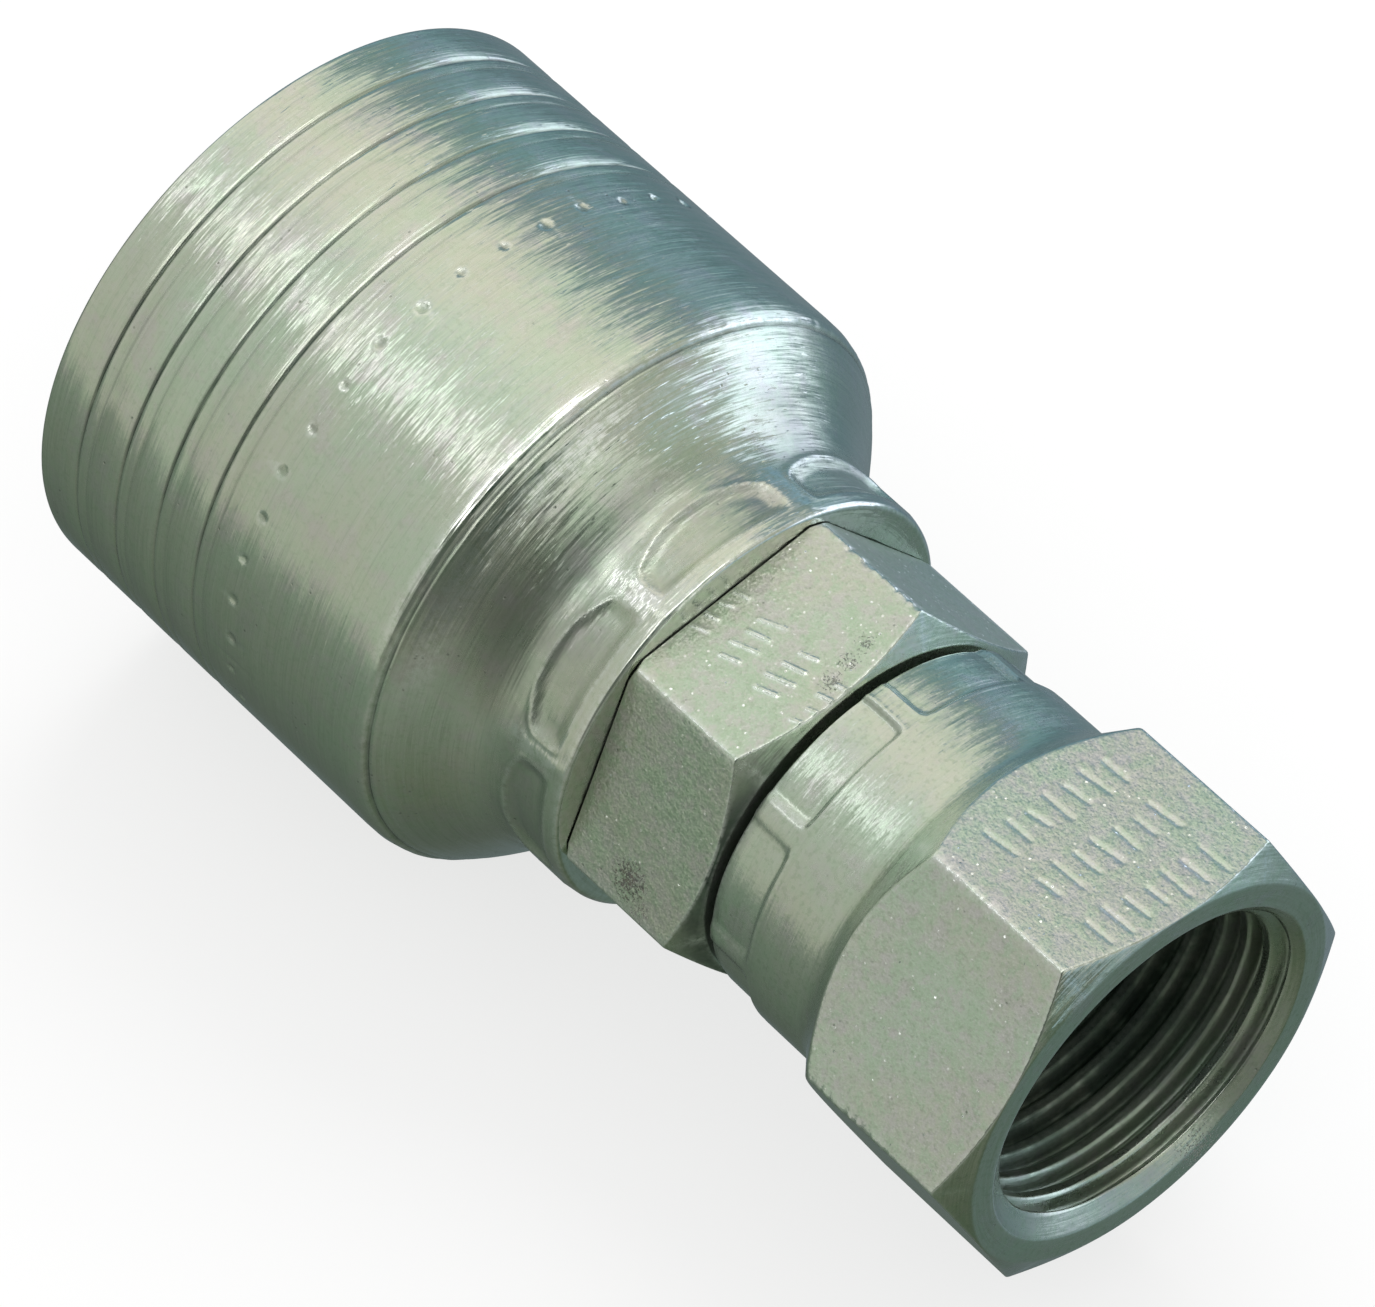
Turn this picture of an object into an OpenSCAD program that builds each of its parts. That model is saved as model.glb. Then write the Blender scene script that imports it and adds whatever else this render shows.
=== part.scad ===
// Crimp hydraulic hose fitting with a female 37 degree swivel nut.
// 1 inch two-wire hose end, 1-1/16-12 swivel thread.
// Millimetres. The bore runs along X: hose end at x = 0, swivel nut towards +X (the front).
// The part lies on its side, +Z up. Every piece is turned about the X axis.

/* [Ferrule] */
// Outside diameter of the crimp ferrule before it is crimped
ferrule_od = 46.6; // [46.0:0.1:47.4]
// Bore of the ferrule where the grip inserts sit
ferrule_bore = 42.2; // [41.8:0.1:42.6]
// Where the straight cylinder ends and the shoulder begins, from the hose end
cyl_len = 33.0; // [32.8:0.1:33.6]
// Number of shallow crimp guide grooves near the hose end
groove_count = 4; // [2:1:4]
// Distance from the hose end to the first groove
groove_start = 3.9; // [3.0:0.1:5.0]
// Spacing of the grooves
groove_pitch = 4.2; // [3.6:0.1:4.3]
// Depth of each groove
groove_depth = 0.2; // [0.1:0.05:0.35]
// Number of punched dimples that stake the grip inserts
dimple_count = 40; // [24:4:44]
// Distance from the hose end to the ring of dimples
dimple_x = 20.7; // [20.5:0.1:20.9]

/* [Staked neck] */
// Diameter of the neck staked onto the stem
neck_od = 34.0; // [33.4:0.1:34.4]
// Number of stake pads pressed into the neck
stake_count = 8; // [6:1:8]
// Angle that each stake pad covers, in degrees
stake_angle = 37; // [30:1:38]
// Depth of a stake pad below the neck
stake_depth = 0.65; // [0.4:0.05:0.8]

/* [Stem] */
// Width across the flats of the stem's hexagon (1-1/8 inch)
stem_hex_af = 28.6; // [28.6:0.1:29.4]
// Diameter over the barbs of the hose tail
tail_od = 25.9; // [25.6:0.1:26.0]
// Diameter between the barbs
tail_root = 24.4; // [24.2:0.1:24.8]
// Number of barbs on the hose tail
barb_count = 7; // [5:1:7]
// Flow bore through the hose tail
tail_bore = 20.4; // [19.6:0.1:20.6]
// Flow bore through the swivel nose
nose_bore = 15.5; // [15.0:0.1:16.0]
// Half angle of the conical seat
seat_angle = 37; // [37:1:37]

/* [Swivel nut] */
// Width across the flats of the nut's hexagon (1-1/4 inch)
nut_hex_af = 31.75; // [31.6:0.05:32.0]
// Major diameter of the internal thread
thread_major = 26.99; // [26.9:0.01:27.1]
// Minor diameter of the internal thread
thread_minor = 24.7; // [24.6:0.05:24.8]
// Threads per inch
thread_tpi = 12; // [12:1:14]
// Diameter of the crimped collar
collar_od = 29.2; // [28.8:0.1:29.4]
// Number of pads pressed into the collar when it is crimped
crimp_count = 8; // [6:1:8]
// Radial running clearance between the nut's chamber and the swivel nose
swivel_clearance = 0.09; // [0.05:0.01:0.1]

/* [Hidden] */
$fn = 96;

over = 1;               // how far a cut runs past the face it opens
core_r = 6;             // inner radius of the turned blanks, inside every bore
corner = 1 / cos(30);   // across corners over across flats

// stations along the bore
tail_start = -1.8;      // end of the tail, just proud of the ferrule
neck_x = 42.3;          // shoulder blends into the neck
stake_rear = 42.5;      // rear edge of the stake pads
stake_front = 45.9;     // front edge of the stake pads
neck_end = 47.3;        // front face of the ferrule
hex_rear = 47.4;        // rear face of the stem's hexagon
hex_front = 58.95;      // front face of the stem's hexagon
nose_front = 73.1;      // front face of the swivel head
nut_rear = 59.6;        // rear face of the nut
thread_rear = 75.2;     // rear end of the thread
nut_front = 87.4;       // front face of the nut

// ferrule radii
ferrule_r = ferrule_od / 2;
ferrule_bore_r = ferrule_bore / 2;
neck_r = neck_od / 2;
neck_bore_r = 14.0;
edge_round = 1.0;       // rounding at both ends of the ferrule's outside

// stem radii
tail_r = tail_od / 2;
tail_root_r = tail_root / 2;
tail_bore_r = tail_bore / 2;
nose_bore_r = nose_bore / 2;
shank_r = 12.6;         // plain length in front of the barbs
land_r = 13.9;          // lands either side of the staking groove
stake_floor_r = 12.5;   // floor of the staking groove
stem_neck_r = 10.5;     // stem neck under the nut's lip
head_r = 12.0;          // swivel head behind the seat
seat_mouth_r = 11.3;    // seat at the nose face
stem_flat_r = stem_hex_af / 2;
stem_corner_r = stem_flat_r * corner + 0.1;
barb_pitch = 4.3;

// nut radii and thread form
collar_r = collar_od / 2;
nut_flat_r = nut_hex_af / 2;
nut_corner_r = nut_flat_r * corner + 0.1;
lip_r = stem_neck_r + 0.25;
chamber_r = head_r + swivel_clearance;
minor_r = thread_minor / 2;
major_r = thread_major / 2;
thread_pitch = 25.4 / thread_tpi;
flank = (major_r - minor_r) * tan(30);
crest = thread_pitch - 2 * flank - thread_pitch / 8;
thread_turns = floor((nut_front - 1.3 - thread_rear) / thread_pitch);
thread_end = thread_rear + crest + thread_turns * thread_pitch;

// angles about the bore, from -Z towards +Y
stem_turn = 37.65;
nut_turn = 23.45;
stake_turn = 2.15;
crimp_turn = 21.65;
dimple_turn = 5.15;
crimp_angle = 38;
insert_gap = 12;

// ---- shared shapes ----

// a profile of [radius, x] points turned about the X axis
module turned(points, sweep = 360, from = 0)
    rotate([0, 90, 0])
        rotate_extrude(angle = sweep, start = from)
            polygon(points);

// equally spaced sectors of a turned profile, the first centred on angle first
module sectors(points, count, sweep, first)
    for (i = [0 : count - 1])
        turned(points, sweep, first + i * 360 / count - sweep / 2);

// a hexagonal bar along X
module hex_bar(across_flats, x0, x1, turn)
    rotate([0, 90, 0])
        translate([0, 0, x0])
            rotate([0, 0, turn])
                cylinder(r = across_flats / 2 * corner, h = x1 - x0, $fn = 6);

// point at t on a cubic curve from p0 to p3 with handles p1 and p2
function bezier(p0, p1, p2, p3, t) =
    p0 * pow(1 - t, 3) + 3 * p1 * pow(1 - t, 2) * t + 3 * p2 * (1 - t) * t * t + p3 * pow(t, 3);

// ferrule edge rounding centred at [radius, x], from angle a0 to a1 in four steps
function edge_arc(centre, a0, a1) =
    [for (i = [0 : 4])
        let (a = a0 + (a1 - a0) * i / 4)
        centre + edge_round * [cos(a), sin(a)]];

// ---- ferrule ----

// [radius, x] from the hose end: rim, guide grooves, shoulder, neck and front edge
function ferrule_outside() = concat(
    edge_arc([ferrule_r - edge_round, edge_round], -90, 0),
    [for (i = [0 : groove_count - 1], side = [-1, 0, 1])
        [ferrule_r - (side == 0 ? groove_depth : 0),
         groove_start + i * groove_pitch + side * 0.35]],
    [for (i = [0 : 12])
        bezier([ferrule_r, cyl_len], [ferrule_r - 0.4, cyl_len + 3.2],
               [neck_r + 0.3, neck_x - 4.3], [neck_r, neck_x], i / 12)],
    edge_arc([neck_r - edge_round, neck_end - edge_round], 0, 72)
);

// [radius, x] from the front face back to the hose end
function ferrule_inside() = [
    [neck_r - 1.2, neck_end],
    [neck_bore_r + 0.3, neck_end],
    [neck_bore_r, neck_end - 0.3],
    [neck_bore_r, 40.6],
    [15.6, 39.2],
    [ferrule_bore_r - 1.0, 34.9],
    [ferrule_bore_r, 34.2],
    [ferrule_bore_r, 0.7],
    [ferrule_bore_r + 0.4, 0]
];

module stake_pads()
    sectors([[neck_r - stake_depth, stake_rear], [neck_r + 3, stake_rear],
             [neck_r + 3, stake_front], [neck_r - stake_depth, stake_front]],
            stake_count, stake_angle, stake_turn);

// metal pushed inwards under each stake pad, into the stem's groove
module stake_bosses()
    sectors([[12.6, stake_rear + 0.8], [14.4, stake_rear + 0.2],
             [14.4, stake_front - 0.2], [12.6, stake_front - 0.8]],
            stake_count, stake_angle - 4, stake_turn);

module dimples()
    for (i = [0 : dimple_count - 1])
        rotate([dimple_turn + i * 360 / dimple_count, 0, 0])
            translate([dimple_x, 0, ferrule_r + 0.45])
                sphere(r = 0.8, $fn = 24);

// low ridge raised inside by the dimples, which parts the two inserts
module dimple_ridge()
    turned([[ferrule_bore_r - 0.5, dimple_x - 0.35], [ferrule_bore_r + 0.2, dimple_x - 0.7],
            [ferrule_bore_r + 0.2, dimple_x + 0.7], [ferrule_bore_r - 0.5, dimple_x + 0.35]]);

module ferrule() color([0.66, 0.69, 0.63]) {
    difference() {
        turned(concat(ferrule_outside(), ferrule_inside()));
        stake_pads();
        dimples();
    }
    stake_bosses();
    dimple_ridge();
}

// ---- hose stem ----

// each barb ramps up from the hose end and drops sharply in front of its crest;
// the first crest runs back almost to the end of the tail
function barbs() =
    [for (i = [0 : barb_count - 1])
        let (x = 1.0 + i * barb_pitch)
        each [[tail_r, i == 0 ? tail_start + 1.0 : x + 2.2],
              [tail_r, x + 3.2],
              [tail_root_r, x + 3.7]]];

// barbed tail, shank, and staking groove between its lands
module stem_tail()
    turned(concat(
        [[tail_bore_r - 0.6, tail_start], [tail_root_r - 0.2, tail_start]],
        barbs(),
        [[tail_root_r, 33.4], [shank_r, 34.0], [shank_r, 40.0],
         [land_r - 0.3, 40.8], [land_r, 41.1], [land_r, 42.4],
         [stake_floor_r, 42.6], [stake_floor_r, 45.9],
         [land_r, 46.2], [land_r, hex_rear + 0.5],
         [tail_bore_r - 0.6, hex_rear + 0.5]]));

// hexagon, its corners turned down at both ends
module stem_hex()
    intersection() {
        hex_bar(stem_hex_af, hex_rear, hex_front, stem_turn);
        turned([[0, hex_rear], [stem_corner_r - 0.55, hex_rear],
                [stem_corner_r, hex_rear + 0.35], [stem_corner_r, hex_front - 1.5],
                [stem_flat_r - 0.35, hex_front], [0, hex_front]]);
    }

// neck and swivel head
module stem_head()
    turned([[core_r, hex_front - 0.5], [stem_neck_r + 0.4, hex_front - 0.5],
            [stem_neck_r + 0.4, hex_front], [stem_neck_r, hex_front + 0.4],
            [stem_neck_r, 65.2], [head_r - 0.1, 66.8], [head_r, 67.0],
            [head_r, nose_front - 0.5], [head_r - 0.5, nose_front], [core_r, nose_front]]);

// flow bore, stepping down towards the nose
module flow_bore()
    turned([[0, tail_start - over], [tail_bore_r + 0.5, tail_start - over],
            [tail_bore_r + 0.5, tail_start], [tail_bore_r, tail_start + 0.6],
            [tail_bore_r, 52.0], [nose_bore_r, 54.4], [nose_bore_r, 72.0], [0, 72.0]]);

// conical seat in the nose, ending just inside the flow bore
module seat_cone() {
    small_r = nose_bore_r - 0.3;
    seat_rear = nose_front - (seat_mouth_r - small_r) / tan(seat_angle);
    turned([[0, nose_front + over],
            [seat_mouth_r + over * tan(seat_angle), nose_front + over],
            [small_r, seat_rear], [0, seat_rear]]);
}

module hose_stem() color([0.68, 0.70, 0.64])
    difference() {
        union() {
            stem_tail();
            stem_hex();
            stem_head();
        }
        flow_bore();
        seat_cone();
    }

// ---- grip inserts ----

// split toothed ring: plain outside, saw teeth inside, one gap ending at angle gap_end
module grip_insert(x0, x1, teeth, gap_end) {
    outer_r = ferrule_bore_r - 0.03;
    root_r = outer_r - 0.95;
    tip_r = outer_r - 1.5;
    tooth_pitch = (x1 - x0) / teeth;
    turned(concat(
        [[outer_r - 0.2, x0], [outer_r, x0 + 0.2], [outer_r, x1 - 0.2], [outer_r - 0.2, x1]],
        [for (i = [teeth - 1 : -1 : 0])
            let (x = x0 + i * tooth_pitch)
            each [[root_r, x + tooth_pitch - 0.02], [tip_r, x + 0.75], [tip_r, x + 0.35]]],
        [[root_r, x0]]),
        360 - insert_gap, gap_end);
}

module grip_insert_rear() color([0.45, 0.47, 0.46])
    grip_insert(x0 = 1.4, x1 = 19.7, teeth = 8, gap_end = 96);

module grip_insert_front() color([0.45, 0.47, 0.46])
    grip_insert(x0 = 21.7, x1 = 33.8, teeth = 5, gap_end = 276);

// ---- swivel nut ----

module nut_collar()
    turned([[core_r, nut_rear], [collar_r - 0.9, nut_rear], [collar_r - 0.5, nut_rear + 0.35],
            [collar_r - 0.25, nut_rear + 4.4], [collar_r - 0.05, nut_rear + 4.6],
            [collar_r, 72], [collar_r, 74], [core_r, 74]]);

// hexagon, turned down to the collar behind and chamfered in front
module nut_hex()
    intersection() {
        hex_bar(nut_hex_af, 70, nut_front, nut_turn);
        turned([[0, 70.2], [collar_r - 0.1, 70.2], [nut_corner_r, 73.95],
                [nut_corner_r, nut_front - 1.45],
                [nut_flat_r - 0.1, nut_front], [0, nut_front]]);
    }

// pads left by the crimping dies at the rear of the collar
module crimp_pads()
    sectors([[collar_r - 0.65, nut_rear - over], [collar_r + 1, nut_rear - over],
             [collar_r + 1, nut_rear + 4.2], [collar_r - 0.65, nut_rear + 4.2]],
            crimp_count, crimp_angle, crimp_turn);

// the thread as separate rings, each a crest followed by a groove
function thread_grooves() =
    [for (i = [0 : thread_turns - 1])
        let (x = thread_rear + i * thread_pitch)
        each [[minor_r, x + crest],
              [major_r, x + crest + flank],
              [major_r, x + thread_pitch - flank],
              [minor_r, x + thread_pitch]]];

// lip, chamber, thread relief, thread and countersink
module nut_cavity()
    turned(concat(
        [[0, nut_rear - over], [lip_r + 0.45, nut_rear - over],
         [lip_r + 0.45, nut_rear], [lip_r, nut_rear + 0.5],
         [lip_r, 64.9], [chamber_r, 66.35], [chamber_r, 74.0],
         [major_r + 0.1, 74.3], [major_r + 0.1, 74.9], [minor_r, thread_rear]],
        thread_grooves(),
        [[minor_r, thread_end], [13.9, nut_front],
         [13.9, nut_front + over], [0, nut_front + over]]));

module swivel_nut() color([0.63, 0.67, 0.61])
    difference() {
        union() {
            nut_collar();
            nut_hex();
        }
        crimp_pads();
        nut_cavity();
    }

ferrule();
hose_stem();
grip_insert_rear();
grip_insert_front();
swivel_nut();
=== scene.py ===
"""A crimped hose fitting: ferrule, hose stem and swivel nut, in zinc-plated steel.

The bore lies along X. The ferrule's open end is at x = 0 (the rear) and the nut's mouth faces
+X (the front). Lengths are in millimetres until the meshes are made; the stage is in metres.
Angles round the bore (beta, turn) are measured from +Z towards +Y. The camera looks from
+X, -Y and above, so -Y is the near side.
"""
import math
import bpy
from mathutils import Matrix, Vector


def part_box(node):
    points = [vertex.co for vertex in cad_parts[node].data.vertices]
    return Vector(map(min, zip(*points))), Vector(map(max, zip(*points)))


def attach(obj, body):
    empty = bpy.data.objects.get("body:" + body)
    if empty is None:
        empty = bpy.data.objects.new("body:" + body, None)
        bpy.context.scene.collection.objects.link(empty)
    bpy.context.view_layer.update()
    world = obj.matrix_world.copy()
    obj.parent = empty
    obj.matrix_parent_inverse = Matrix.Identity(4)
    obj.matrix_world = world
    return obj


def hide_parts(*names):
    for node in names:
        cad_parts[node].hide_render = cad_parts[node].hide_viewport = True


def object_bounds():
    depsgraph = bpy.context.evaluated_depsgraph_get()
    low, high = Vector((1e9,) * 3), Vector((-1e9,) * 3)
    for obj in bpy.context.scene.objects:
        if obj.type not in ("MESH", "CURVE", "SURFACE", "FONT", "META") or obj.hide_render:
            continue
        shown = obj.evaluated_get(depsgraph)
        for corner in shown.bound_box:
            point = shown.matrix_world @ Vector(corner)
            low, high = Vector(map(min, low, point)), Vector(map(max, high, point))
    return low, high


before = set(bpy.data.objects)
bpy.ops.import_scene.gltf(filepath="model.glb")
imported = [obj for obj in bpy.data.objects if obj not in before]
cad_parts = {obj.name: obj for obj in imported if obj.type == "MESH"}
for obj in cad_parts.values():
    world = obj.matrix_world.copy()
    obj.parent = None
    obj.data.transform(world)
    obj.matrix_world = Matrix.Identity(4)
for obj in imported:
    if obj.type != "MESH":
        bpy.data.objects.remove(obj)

from types import SimpleNamespace

import bpy
import numpy as np
from mathutils import Matrix, Vector

CAD_LO, CAD_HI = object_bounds()
METRES = 0.001                  # metres in a millimetre
DEG = math.pi / 180


def box_mm(node):
    return [Vector(corner) * 1000 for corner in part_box(node)]


ferrule_hi = box_mm("ferrule")[1]
nut_lo, nut_hi = box_mm("swivel_nut")
FERRULE_R = ferrule_hi.z
FERRULE_END = ferrule_hi.x
STEM_START = box_mm("hose_stem")[0].x
NUT_START, NUT_END = nut_lo.x, nut_hi.x

# half the width across flats
STEM_APOTHEM = 14.3
NUT_APOTHEM = 15.875

# hexagons, along the bore
STEM_HEX_START, STEM_HEX_END = 47.4, 58.95
NUT_HEX_START = 70.2

# degrees to the first corner, pad or dimple of each set
STEM_TURN = 180 - 37.65
NUT_TURN = 180 - 23.45
STAKE_TURN = 180 - 2.15
CRIMP_TURN = 180 - 21.65
DIMPLE_TURN = 180 - 5.15
PADS = 8                        # round the ferrule's neck, and round the nut's collar
PAD_STEP = 360 / PADS
FACE_UP = 210                   # degrees from the first corner to the flat that looks up


# ---------------------------------------------------------------- shaping functions

def smooth(start, end, value):
    """Eases from 0 at start to 1 at end; start may be the larger."""
    t = np.clip((value - start) / (end - start), 0, 1)
    return t * t * (3 - 2 * t)


def window(value, rise, full, fade, end):
    """Rises from rise to full and falls again from fade to end."""
    return smooth(rise, full, value) * smooth(end, fade, value)


def bell(offset, width):
    return np.exp(-(offset / width) ** 2)


def soft_max(sharpness, *distances):
    return np.log(sum(np.exp(sharpness * away) for away in distances)) / sharpness


def degrees_from(beta, centre=0.0):
    """Signed angle from centre, in degrees, -180 to 180."""
    return (np.degrees(beta) - centre + 180) % 360 - 180


def turn_from(beta, start, count):
    """Angle in degrees from the nearest of count evenly spaced places."""
    step = 360 / count
    return (np.degrees(beta) - start + step / 2) % step - step / 2


def place_index(beta, start, count):
    """Number of the nearest of count evenly spaced places."""
    return np.round((np.degrees(beta) - start) / (360 / count)).astype(int) % count


def underside(beta):
    """1 on the near side, low down, where the gaps get the most painted shade, falling to 0 on
    top.
    """
    return window(degrees_from(beta), -172, -130, -58, -14)


def value_noise(place, cells, seed):
    """Smooth repeatable noise of a coordinate from 0 to 1; the result is -1 to 1."""
    table = np.random.default_rng(seed).uniform(-1, 1, cells + 2)
    scaled = np.clip(place, 0, 0.999999) * cells
    cell = scaled.astype(int)
    part = scaled - cell
    part = part * part * (3 - 2 * part)
    return table[cell] * (1 - part) + table[cell + 1] * part


def ring_noise(x, beta, seed):
    """Smooth repeatable noise over a turned surface, seamless round the bore."""
    rng = np.random.default_rng(seed)
    total = np.zeros(np.broadcast(x, beta).shape)
    for k in range(5):
        shift = rng.uniform(0, 2 * math.pi, 2)
        waves = rng.integers(1, 5)
        along = 0.35 * rng.uniform(0.5, 2.2)
        total += (np.sin(x * along + shift[0] + waves * beta)
                  * np.cos(waves * beta * (k % 2) + shift[1]))
    return total / 5


# ---------------------------------------------------------------- turned meshes

class Skin:
    """Rows of points (x, radius) round the bore, with the wear, painted highlights and painted
    shade stored at each point.
    """

    def __init__(self, x, radius, beta, edge=0.0):
        self.x, self.radius, self.beta = x, radius, beta
        self.edge = np.zeros(x.shape) + edge      # rubbed bright, and painted highlights
        # painted shade in hollows, gaps and bores, with some stains
        self.shade_and_grime = np.zeros(x.shape)
        self.flat = np.zeros(x.shape)             # drawn flat rather than turned

    def rub(self, amount):
        self.edge = np.maximum(self.edge, amount)

    def shade_and_soil(self, amount):
        self.shade_and_grime = np.maximum(self.shade_and_grime, amount)


def section(points, beta):
    """Closed section at every angle.

    points: (x, radius, rounding, arc steps, steps to the next point, edge weight or 1 if
    left out); x and radius are numbers or arrays over beta. A point has either both a
    rounding and arc steps, or neither.
    Returns x and radius as (rows, angles), and each row's edge weight.
    """
    corners = [np.stack([np.broadcast_to(np.asarray(value, float), len(beta))
                         for value in point[:2]], 1) for point in points]
    count = len(points)
    starts, ends = [], []       # of each corner's rounding
    for k, corner in enumerate(corners):
        before, after = corners[k - 1] - corner, corners[(k + 1) % count] - corner
        len_before, len_after = (np.maximum(np.linalg.norm(side, axis=1), 1e-9)[:, None]
                                 for side in (before, after))
        cut = np.minimum(points[k][2], 0.46 * np.minimum(len_before, len_after))
        starts.append(corner + before / len_before * cut)
        ends.append(corner + after / len_after * cut)
    rows, edge = [], []
    for k, corner in enumerate(corners):
        arc_steps, steps, *weight = points[k][3:]
        weight = weight[0] if weight else 1.0
        if arc_steps:
            for i in range(arc_steps + 1):
                t = i / arc_steps
                rows.append((1 - t) ** 2 * starts[k] + 2 * t * (1 - t) * corner
                            + t * t * ends[k])
                # the weight brightens the rounding in the material: wear, and a painted highlight
                edge.append(weight * math.sin(math.pi * (0.15 + 0.7 * t)))
        else:
            rows.append(corner)
            edge.append(0.0)
        run = starts[(k + 1) % count] - ends[k]
        for i in range(1, steps):
            rows.append(ends[k] + run * i / steps)
            edge.append(0.0)
    grid = np.stack(rows)
    return grid[:, :, 0], grid[:, :, 1], np.array(edge)


def make_turned(name, skin, body, node):
    """A closed mesh from a skin, with its wear, painted highlights and painted shade as point
    attributes for the material.
    """
    rows, columns = skin.x.shape
    points = np.empty((rows, columns, 3))
    points[..., 0] = skin.x
    points[..., 1] = skin.radius * np.sin(skin.beta)
    points[..., 2] = skin.radius * np.cos(skin.beta)
    points = (points * METRES).reshape(-1, 3)
    here = np.arange(rows * columns).reshape(rows, columns)
    next_row = np.roll(here, -1, axis=0)
    quads = np.stack([here, next_row, np.roll(next_row, -1, axis=1),
                      np.roll(here, -1, axis=1)], -1).reshape(-1, 4)
    mesh = bpy.data.meshes.new(name)
    mesh.vertices.add(len(points))
    mesh.vertices.foreach_set("co", points.ravel())
    mesh.loops.add(quads.size)
    mesh.loops.foreach_set("vertex_index", quads.ravel().astype(np.int32))
    mesh.polygons.add(len(quads))
    mesh.polygons.foreach_set("loop_start", np.arange(0, quads.size, 4, dtype=np.int32))
    mesh.update(calc_edges=True)
    mesh.polygons.foreach_set("use_smooth", np.ones(len(quads), dtype=bool))
    for key in ("edge", "flat", "shade_and_grime"):
        values = np.clip(getattr(skin, key), 0, 1).ravel().astype(np.float32)
        mesh.attributes.new(key, "FLOAT", "POINT").data.foreach_set("value", values)
    mesh.validate()
    ob = bpy.data.objects.new(name, mesh)
    bpy.context.scene.collection.objects.link(ob)
    normals = ob.modifiers.new("face_normals", "WEIGHTED_NORMAL")
    normals.mode = "FACE_AREA"
    normals.weight = 50
    normals.keep_sharp = False
    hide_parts(node)
    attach(ob, body)
    return ob


# ---------------------------------------------------------------- hexagons

def hex_corner(apothem, rounding):
    """Radius of a rounded corner's centre, and half the angle the rounding takes up."""
    centre = (apothem - rounding) / math.cos(30 * DEG)
    return centre, math.atan2(rounding * 0.5, centre + rounding * math.cos(30 * DEG))


def hex_radius(beta, apothem, turn, rounding):
    centre, half_corner = hex_corner(apothem, rounding)
    off = np.abs(turn_from(beta, turn, 6)) * DEG
    flat = apothem / np.cos(30 * DEG - off)
    arc = centre * np.cos(off) + np.sqrt(
        np.maximum(rounding ** 2 - (centre * np.sin(off)) ** 2, 0))
    return np.where(off < half_corner, arc, flat)


def hex_angles(apothem, turn, rounding, flat_steps, corner_steps=6):
    """Angles with a fan at each corner. flat_steps: steps on the flat after each corner."""
    half_corner = hex_corner(apothem, rounding)[1]
    angles = []
    for k in range(6):
        corner = turn * DEG + k * math.pi / 3
        for i in range(corner_steps):
            angles.append(corner - half_corner + 2 * half_corner * i / corner_steps)
        start, end = corner + half_corner, corner + math.pi / 3 - half_corner
        # even steps across the flat, not even angles
        middle = (start + end) / 2
        tan_start, tan_end = math.tan(start - middle), math.tan(end - middle)
        for i in range(flat_steps[k]):
            angles.append(middle + math.atan(
                tan_start + (tan_end - tan_start) * i / flat_steps[k]))
    return np.array(angles)


def on_flat(skin, apothem, turn):
    middle = turn_from(skin.beta, turn + 30, 6) * DEG
    return np.abs(skin.radius * np.cos(middle) - apothem) < 0.03


def corner_bell(beta, apothem, turn, rounding):
    """1 on the hexagon's corners, falling quickly to 0 beside them."""
    off = np.abs(turn_from(beta, turn, 6)) * DEG
    return bell(off, hex_corner(apothem, rounding)[1] * 1.6)


def corner_nicks(skin, start, length, cells, seed):
    """Depth of the nicks knocked out of a hexagon's corners."""
    along = value_noise((skin.x - start) / length, cells, seed)
    around = value_noise(((np.degrees(skin.beta) * 0.7) % 360) / 360, 97, seed + 1)
    return 0.12 * np.maximum(0, along + 0.9 * around - 0.55)


def batch_mark(skin, apothem, turn, shift, rows, first, pitch, bars, height, width, seed, lean):
    """Rows of plain bars on the flat that looks up: 1 on a bar's centre line, 0 beside it."""
    rng = np.random.default_rng(seed)
    face = degrees_from(skin.beta, turn + FACE_UP)
    across = apothem * np.tan(np.radians(np.clip(face, -30, 30))) + shift
    near = np.zeros(skin.x.shape)
    for j in range(rows):
        row_x = first + j * pitch
        for i in range(bars):
            bar_at = (i - (bars - 1) / 2) * height * 0.66
            bar = height * (1.0, 0.8, 0.65, 1.0, 0.8)[(i + 2 * j) % 5]
            press = rng.uniform(0.6, 1.0)
            slant = lean + rng.uniform(-0.1, 0.1)
            along = np.clip(skin.x - row_x, -bar / 2, bar / 2)
            away = np.sqrt((across - bar_at - slant * along) ** 2
                           + (skin.x - row_x - along) ** 2)
            near = np.maximum(near, press * bell(away, width))
    return near * (np.abs(face) < 29)


# ---------------------------------------------------------------- ferrule

NECK_R, NECK_X = 17.0, 42.3     # the neck, and where the shoulder meets it
SHOULDER_X = 33.0
GROOVES = (3.9, 8.1, 12.3, 16.5)
DIMPLE_X, DIMPLES = 20.7, 40

# degrees from each dimple's centre to the columns of points near it
DIMPLE_COLUMNS = np.array([-4.1, -2.9, -1.9, -1.3, -0.8, -0.35, 0.05, 0.45, 0.9, 1.4, 2.0, 2.6,
                           3.1, 3.6, 4.2])
# distance along the bore from each groove or from the dimples to the rows of points near it
GROOVE_ROWS = (-1.0, -0.84, -0.6, -0.36, -0.2, -0.1, -0.03, 0.05, 0.13, 0.28, 0.5,
               1.08, 1.18, 1.27, 1.4, 2.3)
DIMPLE_ROWS = (-0.7, -0.5, -0.33, -0.16, 0, 0.16, 0.33, 0.5, 0.7)
# x of rows on the plain wall and round the turned lines at the shoulder
WALL_ROWS = [1.0, 2.0, 23.0, 25.4, 27.8, 30.2, 32.2]
LINE_ROWS = [33.2, 33.7, 34.0, 34.2, 34.34, 34.44, 34.54, 34.66, 34.85, 35.1, 35.22, 35.34, 35.5]

# handling dents: x, degrees round the bore, radius, depth
DENTS = (
    (6.1, -60.0, 1.1, 0.07), (24.6, -12.0, 0.5, 0.05), (28.4, -54.0, 0.4, 0.04),
    (26.0, 118.0, 1.2, 0.06), (14.4, 205.0, 0.8, 0.05),
)


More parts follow.
